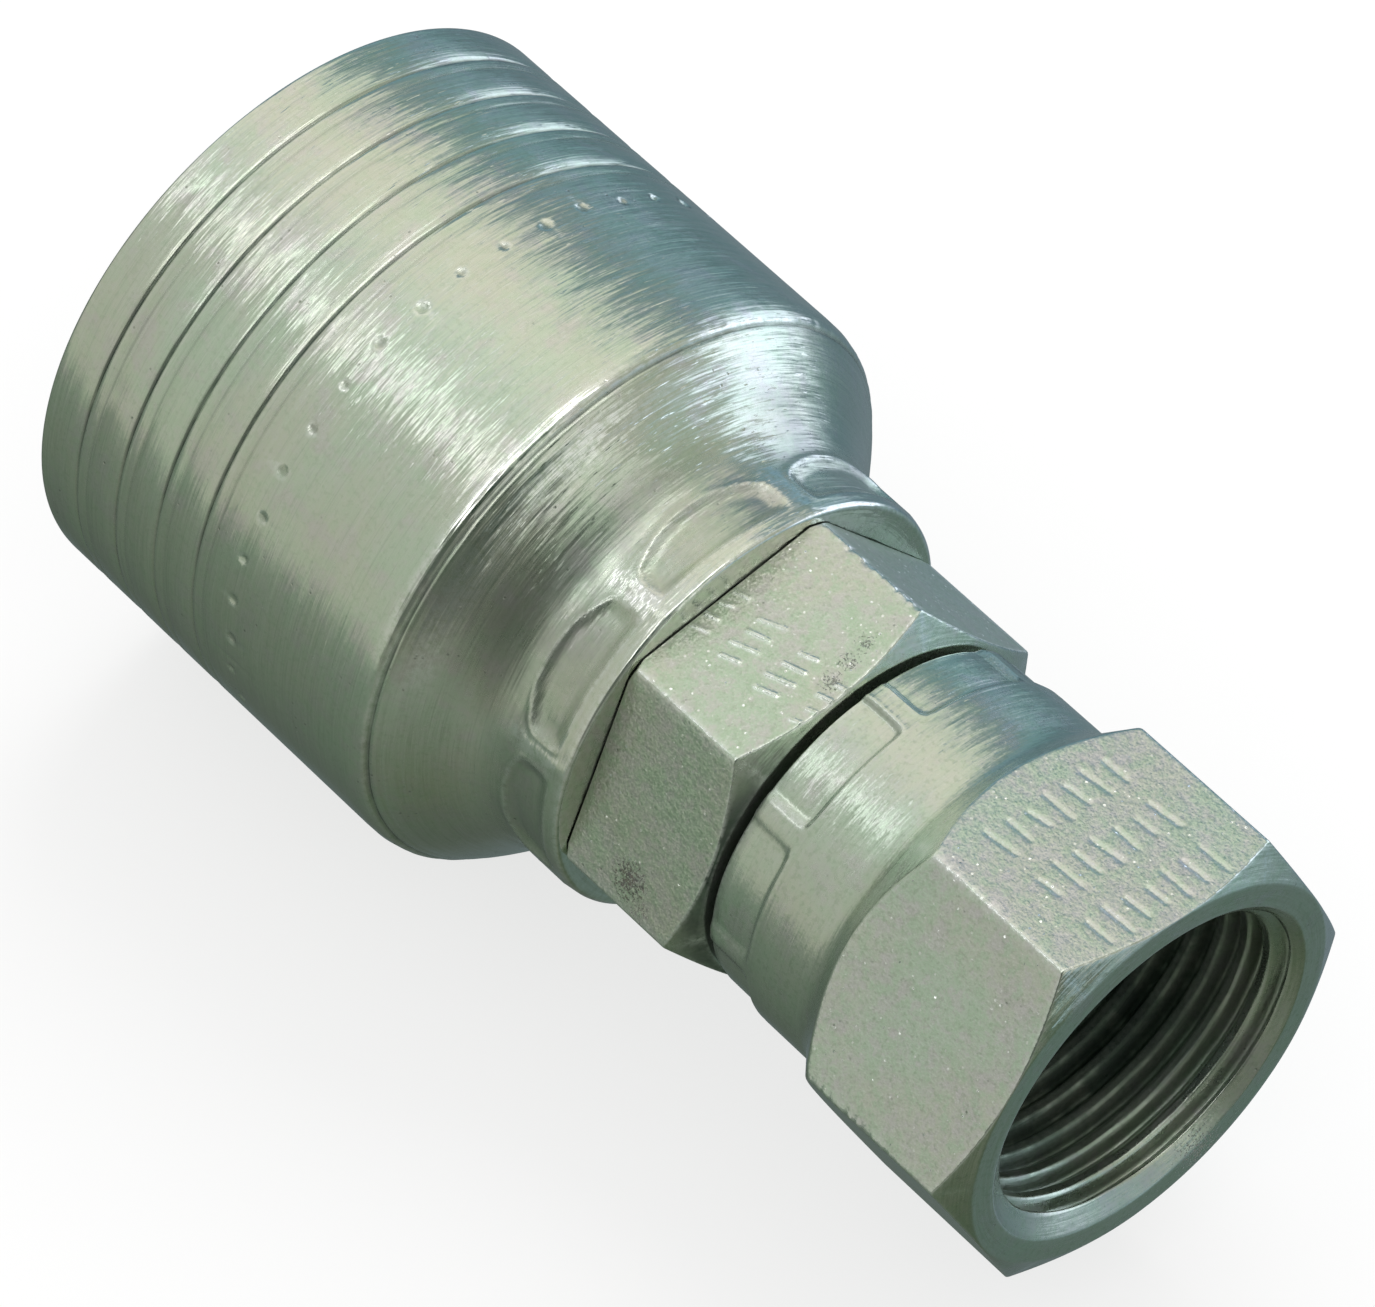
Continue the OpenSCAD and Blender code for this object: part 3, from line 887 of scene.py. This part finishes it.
def zinc_colour(graph, pat, base, tool, grain, flat_tint):
    """Zinc with green, yellow and pink plating tints that shift with the angle."""
    flat, turned, mottle = pat.flat, pat.turned, pat.mottle

    def tint(*factors):
        """The base colour with its red, green and blue multiplied."""
        return (*(min(part * factor, 1) for part, factor in zip(Vector(base), factors)), 1)

    angle = graph.wire("ShaderNodeLayerWeight", {"Blend": 0.35}, "Facing")
    colour = graph.layers(tint(0.97, 1.03, 0.96), [
        (pat.patch.range(0.38, 0.60), tint(1.05, 1.0, 0.97)),
        (pat.blotch.range(0.50, 0.66) * 0.75, tint(1.06, 0.94, 1.03)),
        (mottle.range(0.50, 0.62) * flat.times_plus(0.30, 0.25), tint(0.86, 1.0, 0.84)),
        (mottle.range(0.48, 0.38) * flat.times_plus(0.30, 0.25), tint(1.12, 0.98, 1.10)),
        (angle.range(0.25, 0.95) * 0.7, tint(0.94, 1.0, 1.07)),
        (pat.ring.range(0.38, 0.66) * turned * (0.25 * tool), tint(1.16, 1.14, 1.16)),
        (pat.fine_ring.range(0.50, 0.70) * turned * (0.35 * tool), tint(0.72, 0.76, 0.72)),
        # scratches brightened on the lit side, partly painted glints
        (pat.scratch * pat.rubbed * (turned * (0.45 * tool)), tint(1.22, 1.16, 1.24)),
    ])
    colour = graph.mix(flat, colour, (*flat_tint, 1), "MULTIPLY")
    return graph.layers(colour, [
        (pat.speck.range(0.50, 0.70) * (0.10 + 0.25 * grain), tint(0.62, 0.70, 0.58)),
        (pat.micro.range(0.52, 0.66) * flat * (0.35 * grain), tint(1.10, 0.98, 1.05)),
        (pat.pit * 0.75, tint(0.22, 0.24, 0.20)),
        # painted shade with grime, painted glints on grains, then wear and painted highlights
        (pat.shade_and_grime * 0.93, (0.020, 0.056, 0.040, 1)),
        (pat.glint * flat * 0.9, tint(1.5, 1.4, 1.5)),
        (pat.edge * 0.8, tint(1.36, 1.28, 1.40)),
    ])


def rust_mask(graph, pat, spots):
    """Dots that crowd together in the middle of each spot and thin out. None without spots."""
    rust = None
    for x, y, z, radius, amount in spots:
        away = graph.vector_math("DISTANCE", pat.place, (x, y, z), output="Value") / radius
        limit = away.times_plus(0.13, 0.53 - 0.10 * amount)
        dots = (graph.noise(pat.place, scale=4.4, detail=4.0, roughness=0.8) - limit).range(
            0.0, 0.035)
        dots = (dots * (0.55 + 0.45 * amount)
                * away.range(0.85, 1.25, to_low=1.0, to_high=0.0))
        rust = graph.math("MAXIMUM", rust, dots) if rust else dots
    return rust


def zinc_roughness(graph, pat, rough, tool):
    total = (rough + (pat.ring - 0.5) * pat.turned * (0.16 * tool)
             + (pat.blotch - 0.5) * 0.16 + pat.flat * 0.12 + (pat.micro - 0.5) * 0.12
             + pat.shade_and_grime * 0.42 - pat.edge * 0.12 - pat.glint * (pat.flat * 0.12))
    return graph.math("MAXIMUM", total, 0.06)


def leaning_normal(graph, pat, tilt, grain):
    """The finish leans the surface a little. Returns the normal and the tangent along it."""
    normal = graph.wire("ShaderNodeNewGeometry", output="Normal")
    around = graph.wire("ShaderNodeVectorTransform",
                        {0: graph.vector(0.0, pat.cos, pat.sin * -1.0)},
                        vector_type="VECTOR", convert_from="OBJECT", convert_to="WORLD")
    around = graph.vector_math("NORMALIZE", around)
    along = graph.vector_math("NORMALIZE", graph.vector_math("CROSS_PRODUCT", around, normal))
    tilt_around, tilt_along = tilt
    streaks = ((pat.streak - 0.5) * (2 * tilt_around)
               + pat.scratch * ((pat.streak2 - 0.5) * (6.0 * tilt_around)))
    middle = (0.5, 0.5, 0.5)
    leans = [           # direction, amount
        (around, streaks * pat.rubbed * pat.turned),
        (along, (pat.streak2 - 0.5) * (2 * tilt_along) * pat.turned),
        (graph.vector_math("SUBTRACT", pat.micro.out("Color"), middle),
         (pat.flat + 0.15) * (0.42 * grain)),
        (graph.vector_math("SUBTRACT", pat.grain_colour, middle),
         pat.glint * pat.flat * (0.7 * grain)),
    ]
    for direction, amount in leans:
        normal = graph.vector_math(
            "ADD", normal, graph.vector_math("SCALE", direction, scale=amount))
    return graph.vector_math("NORMALIZE", normal), along


def zinc_relief(pat, rust, tool, grain):
    """Height in millimetres."""
    height = (((pat.ring - 0.5) * (0.014 * tool) + (pat.fine_ring - 0.5) * (0.006 * tool))
              * pat.turned
              + (pat.speck - 0.5) * pat.flat.times_plus(0.035 * grain, 0.012 * grain)
              + (pat.mottle - 0.5) * (pat.flat * (0.05 * grain))
              - pat.pit * 0.03)
    return height - rust * 0.04 if rust else height


def zinc(name, base, seed, tool, grain, rough, tilt=(0.30, 0.22), aniso=0.0,
         flat_tint=(1, 1, 1), spots=()):
    """Zinc-plated steel.

    tool: strength of the turned rings. grain: strength of the speckle on the drawn flats.
    tilt: how far the turned finish leans the surface round the bore and along it.
    spots: (x, y, z, radius, amount) of rust, in millimetres.
    """
    material = bpy.data.materials.new(name)
    material.use_nodes = True
    graph = Graph(material.node_tree)
    pat = zinc_patterns(graph, seed)
    colour = zinc_colour(graph, pat, base, tool, grain, flat_tint)
    metallic = 1.0
    rust = rust_mask(graph, pat, spots)
    if rust:
        rust_colour = graph.mix(pat.speck.range(0.4, 0.6), (0.012, 0.012, 0.008, 1),
                                (0.060, 0.048, 0.028, 1))
        colour = graph.mix(rust * 0.92, colour, rust_colour)
        metallic = 1.0 - rust * 0.8
    normal, along = leaning_normal(graph, pat, tilt, grain)
    bump = graph.wire("ShaderNodeBump", {
        "Strength": 1.0, "Distance": METRES, "Normal": normal,
        "Height": zinc_relief(pat, rust, tool, grain)})
    inputs = {"Base Color": colour, "Metallic": metallic, "Normal": bump,
              "Roughness": zinc_roughness(graph, pat, rough, tool)}
    if aniso:
        inputs.update({"Anisotropic": aniso, "Tangent": along})
    surface = graph.wire("ShaderNodeBsdfPrincipled", inputs)
    graph.add("ShaderNodeOutputMaterial", {0: surface})
    return material


# ---------------------------------------------------------------- pieces and materials

ferrule = build_ferrule()
stem = build_stem()
nut = build_nut()

ZINC = (0.72, 0.77, 0.68)
STEM_RUST = (
    (53.1, -15.5, 0.0, 1.7, 0.9), (54.6, -15.9, -1.2, 1.1, 0.5), (57.5, -1.6, 14.2, 1.0, 0.35),
    (57.1, 0.3, 14.5, 0.9, 0.45), (56.8, 2.0, 14.7, 1.0, 0.3),
)
NUT_RUST = ((87.2, 5.2, -13.6, 2.2, 0.45),)

ferrule.data.materials.append(zinc("zinc_ferrule", ZINC, seed=1, tool=1.0, grain=0.35,
                                   rough=0.21, tilt=(0.38, 0.26), aniso=0.5))
stem.data.materials.append(zinc("zinc_stem", (0.68, 0.74, 0.65), seed=2, tool=0.5, grain=1.0,
                                rough=0.27, flat_tint=(0.96, 0.96, 0.96), spots=STEM_RUST))
nut.data.materials.append(zinc("zinc_nut", (0.68, 0.74, 0.66), seed=3, tool=0.7, grain=0.9,
                               rough=0.24, aniso=0.3, flat_tint=(1.07, 1.05, 1.10),
                               spots=NUT_RUST))
insert_material = zinc("phosphated_insert", (0.30, 0.31, 0.29), seed=4, tool=0.6, grain=0.9,
                       rough=0.40)
for node_name in ("grip_insert_rear", "grip_insert_front"):
    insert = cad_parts[node_name]
    if not insert.data.materials:
        insert.data.materials.append(insert_material)
    for material_slot in insert.material_slots:
        material_slot.material = insert_material


# ---------------------------------------------------------------- floor

def build_floor():
    """A light table: part of its brightness is its own, so shadows on it stay pale."""
    bpy.ops.mesh.primitive_plane_add(size=1)
    floor = bpy.context.object
    floor.name = "studio_floor"
    floor.scale = (40, 40, 1)
    floor.location = (CAD_HI.x / 2, 0, min(CAD_LO.z, -FERRULE_R * METRES) - 0.0001)
    material = bpy.data.materials.new("pale_floor")
    material.use_nodes = True
    inputs = material.node_tree.nodes["Principled BSDF"].inputs
    inputs["Base Color"].default_value = (0.27, 0.27, 0.27, 1)
    inputs["Roughness"].default_value = 0.9
    inputs["Specular IOR Level"].default_value = 0.0
    inputs["Emission Color"].default_value = (1.0, 1.0, 0.998, 1)
    inputs["Emission Strength"].default_value = 0.70
    floor.data.materials.append(material)
    floor.visible_glossy = False


# ---------------------------------------------------------------- world

# What the metal reflects: degrees from +Z towards +Y, then the sRGB colour seen on it.
REAR_SKY = (
    (-178, 76, 86, 74), (-150, 88, 102, 86), (-118, 102, 116, 100), (-104.5, 111, 125, 109),
    (-98, 152, 161, 142), (-60, 158, 168, 151), (-38, 162, 174, 157), (-30, 180, 189, 175),
    (-22, 188, 196, 182), (-12, 182, 192, 178), (4, 196, 204, 186), (24, 201, 207, 186),
    (36, 190, 199, 179), (43, 178, 189, 177), (50, 130, 147, 141), (64, 102, 127, 127),
    (80, 108, 141, 146), (104, 84, 110, 114), (120, 90, 112, 115), (140, 102, 118, 118),
    (178, 76, 86, 74),
)
FRONT_SKY = (
    (-178, 68, 82, 64), (-160, 84, 96, 77), (-140, 99, 110, 94), (-118, 116, 126, 111),
    (-104, 107, 115, 99), (-88, 84, 92, 80), (-68, 72, 82, 70), (-48, 70, 80, 68),
    (-27, 98, 109, 97), (-12, 140, 152, 136), (4, 170, 182, 164), (17, 194, 202, 188),
    (28, 156, 165, 147), (38, 140, 149, 131), (52, 152, 163, 149), (64, 154, 168, 162),
    (80, 150, 172, 172), (104, 124, 150, 150), (116, 116, 140, 136), (140, 92, 112, 104),
    (178, 68, 82, 64),
)
# Soft-edged windows in the reflections: where each starts to rise, is full, starts to fade
# and ends, in degrees round the bore and in the direction's x; colour; blend.
WINDOWS = (
    ((60, 78, 88, 116), (-0.42, -0.18, 0.44, 0.80), (0.96, 1.00, 1.20), "ADD"),
    ((-32, -26, -20, -12), (-0.80, -0.62, -0.30, -0.12), (0.05, 0.05, 0.06), "ADD"),
    ((-28, -25, -23, -20), (-0.80, -0.62, -0.30, -0.12), (1.08, 1.08, 1.14), "ADD"),
    ((-95, -40, 15, 45), (0.84, 0.93, 2, 3), (0.20, 0.20, 0.18), "ADD"),
    ((-60, -42, 8, 26), (-0.02, 0.06, 0.14, 0.24), (1.7, 1.7, 1.72), "ADD"),
    ((-54, -38, 14, 34), (0.26, 0.38, 0.62, 0.76), (0.13, 0.13, 0.12), "SUBTRACT"),
)


def sky_stops(sky):
    """Ramp stops, with the metal's own colour divided out."""
    return [((degrees + 180) / 360,
             (*(((c / 255 + 0.055) / 1.055) ** 2.4 / own for c, own in zip(colour, ZINC)), 1))
            for degrees, *colour in sky]


def build_world():
    """One sky for reflections, a plain one for diffuse light and another for the camera."""
    world = bpy.data.worlds.new("studio")
    bpy.context.scene.world = world
    world.use_nodes = True
    graph = Graph(world.node_tree)
    coords = graph.wire("ShaderNodeTexCoord", output="Generated")
    x, y, z = graph.split(graph.vector_math("NORMALIZE", coords))
    angle = graph.math("ARCTAN2", y, z)
    turn = angle / (2 * math.pi) + 0.5      # 0 and 1 are straight down, 0.5 is up
    rear = graph.ramp(turn, sky_stops(REAR_SKY))
    front = graph.ramp(turn, sky_stops(FRONT_SKY))
    reflected = graph.mix(x.range(-0.02, 0.42), rear, front)
    degrees = angle * (180 / math.pi)

    def soft_window(value, rise, full, fade, end):
        return value.range(rise, full) * value.range(fade, end, to_low=1.0, to_high=0.0)

    for around, along, colour, blend in WINDOWS:
        mask = soft_window(degrees, *around) * soft_window(x, *along)
        reflected = graph.mix(mask, reflected, (*colour, 1), blend, clamp_factor=False)

    def background(colour, strength=1.0):
        return graph.wire("ShaderNodeBackground", {0: colour, 1: strength})

    rays = graph.wire("ShaderNodeLightPath", output="Is Glossy Ray")
    sky = graph.wire("ShaderNodeMixShader", {
        0: rays, 1: background((1.0, 1.0, 1.0, 1), strength=0.95), 2: background(reflected)})
    sky = graph.wire("ShaderNodeMixShader", {
        0: rays.out("Is Camera Ray"), 1: sky, 2: background((0.975, 0.975, 0.972, 1))})
    graph.add("ShaderNodeOutputWorld", {0: sky})


# ---------------------------------------------------------------- light and camera

def build_light():
    """A soft key from above, on the far side."""
    distance = 0.9
    light = bpy.data.lights.new("key_soft", "AREA")
    light.shape = "RECTANGLE"
    light.size = light.size_y = 0.5
    light.energy = 3.0
    ob = bpy.data.objects.new("key_soft", light)
    bpy.context.scene.collection.objects.link(ob)
    direction = Vector((-0.25, 0.55, 0.9)).normalized()
    ob.location = Vector((CAD_HI.x / 2, 0, 0)) + direction * distance
    ob.rotation_mode = "QUATERNION"
    ob.rotation_quaternion = (-direction).to_track_quat("-Z", "Y")
    ob.visible_glossy = False


def build_camera():
    azimuth, elevation = 49.0 * DEG, 52.28 * DEG
    distance, slide = 0.6294, 0.03655       # slide: sideways, along the bore as seen
    lens = bpy.data.cameras.new("camera")
    camera = bpy.data.objects.new("camera", lens)
    bpy.context.scene.collection.objects.link(camera)
    bpy.context.scene.camera = camera
    lens.sensor_width = 36.0
    lens.lens = 235.636364
    lens.clip_start, lens.clip_end = 0.01, 50
    back = Vector((math.sin(azimuth) * math.cos(elevation),
                   -math.cos(azimuth) * math.cos(elevation), math.sin(elevation)))
    right = Vector((math.cos(azimuth), math.sin(azimuth), 0))
    up = back.cross(right)
    bore = Vector((1, 0, 0))
    bore_seen = bore - back * bore.dot(back)
    camera.location = back * distance + bore_seen.normalized() * slide
    camera.rotation_mode = "QUATERNION"
    camera.rotation_quaternion = Matrix((right, up, back)).transposed().to_quaternion()


build_floor()
build_world()
build_light()
build_camera()

view = bpy.context.scene.view_settings
view.view_transform = "Standard"
view.look = "None"
view.exposure = 0.0
view.gamma = 1.0
